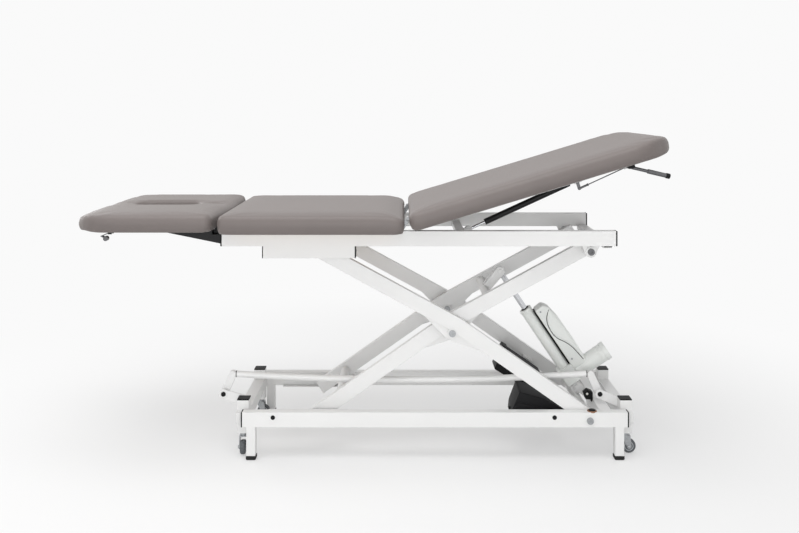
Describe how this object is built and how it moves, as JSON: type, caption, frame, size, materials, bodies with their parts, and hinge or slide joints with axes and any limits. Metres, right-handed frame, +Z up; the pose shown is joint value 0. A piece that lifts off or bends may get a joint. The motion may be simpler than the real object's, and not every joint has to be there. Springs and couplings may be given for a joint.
{
  "type": "electric scissor-lift treatment couch",
  "caption": "White scissor-lift treatment couch with taupe padded head, seat and raised leg sections on castors and rubber feet.",
  "frame": {"origin": "on the floor, under the middle of the couch's length and width", "axes": "+X from the head end to the leg end, +Y away from the side with the foot bar, +Z up"},
  "size_m": [1.9652, 0.66, 1.079],
  "materials": {
    "white_paint": "satin",
    "black_paint": "satin",
    "black_plastic": "matte",
    "pale_plastic": "matte",
    "upholstery": "soft grain",
    "board": "raw plywood",
    "zinc": "zinc plated",
    "dark_steel": "blackened",
    "chrome": "polished",
    "rubber": "matte",
    "grey_tyre": "matte",
    "nylon": "matte"
  },
  "bodies": {
    "base": {"base_rail_near": "white_paint", "base_rail_far": "white_paint", "rubber_feet": "rubber", "base_pivot_bolts": "zinc", "base_caps": "black_plastic", "end_frame_head": "white_paint", "end_frame_leg": "white_paint", "base_cross_members": "white_paint", "power_unit": "black_plastic", "switch_box": "black_plastic", "foot_bar_brackets": "white_paint"},
    "foot_rocker_head": {"foot_bar_rocker_head": "white_paint"},
    "foot_rocker_leg": {"foot_bar_rocker_leg": "white_paint"},
    "foot_bar": {"foot_bar": "white_paint"},
    "outer_arms": {"outer_arm_near": "white_paint", "outer_arm_far": "white_paint", "outer_torsion_tube": "white_paint", "centre_pivot_bolts": "zinc", "control_unit": "black_plastic"},
    "inner_arms": {"inner_arm_near": "white_paint", "inner_arm_far": "white_paint", "inner_arm_tubes": "white_paint"},
    "actuator": {"actuator_tube": "pale_plastic", "actuator_motor": "pale_plastic", "actuator_control_box": "pale_plastic"},
    "actuator_rod": {"actuator_rod": "chrome"},
    "top_frame": {"top_rail_near": "white_paint", "top_rail_far": "white_paint", "top_caps": "black_plastic", "top_pivot_bolts": "dark_steel", "top_cross_tubes": "white_paint", "head_spring_tube": "white_paint", "leg_spring_tube": "white_paint", "frame_hinge_plates": "zinc", "seat_pad": "upholstery", "seat_board": "board"},
    "head_section": {"head_section_frame": "black_paint", "head_pad": "upholstery", "head_board": "board"},
    "head_release_lever": {"head_release_lever": "chrome"},
    "head_spring_cylinder": {"head_spring_cylinder": "black_paint"},
    "head_spring_rod": {"head_spring_rod": "chrome"},
    "leg_section": {"leg_section_frame": "white_paint", "leg_pad": "upholstery", "leg_board": "board"},
    "leg_release_lever": {"leg_release_lever": "dark_steel"},
    "leg_spring_cylinder": {"leg_spring_cylinder": "black_paint"},
    "leg_spring_rod": {"leg_spring_rod": "chrome"},
    "upper_roller_near": {"upper_roller_near": "nylon"},
    "lower_roller_near": {"lower_roller_near": "nylon"},
    "upper_roller_far": {"upper_roller_far": "nylon"},
    "lower_roller_far": {"lower_roller_far": "nylon"},
    "castor_head_near": {"castor_fork_head_near": "zinc"},
    "wheel_head_near": {"castor_wheel_head_near": "grey_tyre"},
    "castor_head_far": {"castor_fork_head_far": "zinc"},
    "wheel_head_far": {"castor_wheel_head_far": "grey_tyre"},
    "castor_leg_near": {"castor_fork_leg_near": "zinc"},
    "wheel_leg_near": {"castor_wheel_leg_near": "grey_tyre"},
    "castor_leg_far": {"castor_fork_leg_far": "zinc"},
    "wheel_leg_far": {"castor_wheel_leg_far": "grey_tyre"}
  },
  "joints": [
    {"name": "lift", "type": "hinge", "parent": "base", "child": "outer_arms", "pos_m": [0.72142, 0, 0.132], "axis": [0, 1, 0], "range_deg": [-17, 6]},
    {"name": "scissor_cross", "type": "hinge", "parent": "outer_arms", "child": "inner_arms", "pos_m": [0.26198, 0, 0.41575], "axis": [0, 1, 0], "range_deg": [-12, 34]},
    {"name": "frame_level", "type": "hinge", "parent": "inner_arms", "child": "top_frame", "pos_m": [0.72142, 0, 0.69951], "axis": [0, 1, 0], "range_deg": [-17, 6]},
    {"name": "actuator_tilt", "type": "hinge", "parent": "base", "child": "actuator", "pos_m": [0.72142, 0, 0.176], "axis": [0, 1, 0], "range_deg": [-19, 6.74]},
    {"name": "actuator_extend", "type": "slide", "parent": "actuator", "child": "actuator_rod", "axis": [-0.5574, 0, 0.8302], "range_m": [-0.1356, 0.0482]},
    {"name": "upper_roller_near_spin", "type": "hinge", "parent": "outer_arms", "child": "upper_roller_near", "pos_m": [-0.19746, -0.231, 0.69951], "axis": [0, 1, 0], "continuous": true},
    {"name": "lower_roller_near_spin", "type": "hinge", "parent": "inner_arms", "child": "lower_roller_near", "pos_m": [-0.19746, -0.189, 0.132], "axis": [0, 1, 0], "continuous": true},
    {"name": "upper_roller_far_spin", "type": "hinge", "parent": "outer_arms", "child": "upper_roller_far", "pos_m": [-0.19746, 0.231, 0.69951], "axis": [0, 1, 0], "continuous": true},
    {"name": "lower_roller_far_spin", "type": "hinge", "parent": "inner_arms", "child": "lower_roller_far", "pos_m": [-0.19746, 0.189, 0.132], "axis": [0, 1, 0], "continuous": true},
    {"name": "head_tilt", "type": "hinge", "parent": "top_frame", "child": "head_section", "pos_m": [-0.52108, 0, 0.80281], "axis": [0, 1, 0], "range_deg": [-25, 30]},
    {"name": "head_spring_tilt", "type": "hinge", "parent": "top_frame", "child": "head_spring_cylinder", "pos_m": [-0.32858, 0, 0.70001], "axis": [0, 1, 0], "range_deg": [-9.05, 10.85]},
    {"name": "head_spring_extend", "type": "slide", "parent": "head_spring_cylinder", "child": "head_spring_rod", "axis": [-0.9973, 0, 0.0732], "range_m": [-0.0376, 0.045]},
    {"name": "head_lever_press", "type": "hinge", "parent": "head_section", "child": "head_release_lever", "pos_m": [-0.87358, -0.262, 0.76781], "axis": [0, 1, 0], "range_deg": [0, 12], "stiffness_Nm_per_rad": 0.5, "springref_deg": -5.73},
    {"name": "leg_tilt", "type": "hinge", "parent": "top_frame", "child": "leg_section", "pos_m": [0.11342, 0, 0.80281], "axis": [0, -1, 0], "range_deg": [-16.9, 33.1]},
    {"name": "leg_spring_tilt", "type": "hinge", "parent": "leg_section", "child": "leg_spring_cylinder", "pos_m": [0.71751, 0, 0.91632], "axis": [0, -1, 0], "range_deg": [-5.29, 10.31]},
    {"name": "leg_spring_extend", "type": "slide", "parent": "leg_spring_cylinder", "child": "leg_spring_rod", "axis": [-0.9087, 0, -0.4173], "range_m": [-0.0492, 0.0958]},
    {"name": "leg_lever_pull", "type": "hinge", "parent": "leg_section", "child": "leg_release_lever", "pos_m": [0.84993, -0.19, 0.98269], "axis": [0, -1, 0], "range_deg": [0, 12], "stiffness_Nm_per_rad": 4, "springref_deg": -8.59},
    {"name": "foot_rocker_head_turn", "type": "hinge", "parent": "base", "child": "foot_rocker_head", "pos_m": [-0.52358, -0.12, 0.193], "axis": [0, 1, 0], "range_deg": [-8, 8], "stiffness_Nm_per_rad": 25},
    {"name": "foot_bar_turn", "type": "hinge", "parent": "foot_rocker_head", "child": "foot_bar", "pos_m": [-0.49558, -0.12, 0.254], "axis": [0, 1, 0], "range_deg": [-8.37, 8.37]},
    {"name": "foot_rocker_leg_turn", "type": "hinge", "parent": "base", "child": "foot_rocker_leg", "pos_m": [0.77342, -0.12, 0.193], "axis": [0, 1, 0], "range_deg": [-8.05, 8.05]},
    {"name": "castor_head_near_swivel", "type": "hinge", "parent": "base", "child": "castor_head_near", "pos_m": [-0.44908, -0.17, 0.025], "axis": [0, 0, 1], "continuous": true},
    {"name": "wheel_head_near_spin", "type": "hinge", "parent": "castor_head_near", "child": "wheel_head_near", "pos_m": [-0.44908, -0.183, 0.025], "axis": [1, 0, 0], "continuous": true},
    {"name": "castor_head_far_swivel", "type": "hinge", "parent": "base", "child": "castor_head_far", "pos_m": [-0.44908, 0.17, 0.025], "axis": [0, 0, 1], "continuous": true},
    {"name": "wheel_head_far_spin", "type": "hinge", "parent": "castor_head_far", "child": "wheel_head_far", "pos_m": [-0.43608, 0.17, 0.025], "axis": [0, 1, 0], "continuous": true},
    {"name": "castor_leg_near_swivel", "type": "hinge", "parent": "base", "child": "castor_leg_near", "pos_m": [0.85292, -0.17, 0.025], "axis": [0, 0, 1], "continuous": true},
    {"name": "wheel_leg_near_spin", "type": "hinge", "parent": "castor_leg_near", "child": "wheel_leg_near", "pos_m": [0.86592, -0.17, 0.025], "axis": [0, 1, 0], "continuous": true},
    {"name": "castor_leg_far_swivel", "type": "hinge", "parent": "base", "child": "castor_leg_far", "pos_m": [0.85292, 0.17, 0.025], "axis": [0, 0, 1], "continuous": true},
    {"name": "wheel_leg_far_spin", "type": "hinge", "parent": "castor_leg_far", "child": "wheel_leg_far", "pos_m": [0.86592, 0.17, 0.025], "axis": [0, 1, 0], "continuous": true}
  ],
  "couplings": [
    {"joint": "scissor_cross", "follows": "lift", "ratio": -2},
    {"joint": "frame_level", "follows": "lift", "ratio": 1},
    {"joint": "actuator_tilt", "follows": "lift", "ratio": 1.115},
    {"joint": "actuator_extend", "follows": "lift", "m_per_rad": 0.4555},
    {"joint": "head_spring_tilt", "follows": "head_tilt", "ratio": 0.36},
    {"joint": "head_spring_extend", "follows": "head_tilt", "m_per_rad": 0.085},
    {"joint": "leg_spring_tilt", "follows": "leg_tilt", "ratio": 0.31},
    {"joint": "leg_spring_extend", "follows": "leg_tilt", "m_per_rad": 0.165},
    {"joint": "foot_bar_turn", "follows": "foot_rocker_head_turn", "ratio": -1.0443},
    {"joint": "foot_rocker_leg_turn", "follows": "foot_rocker_head_turn", "ratio": 1}
  ]
}
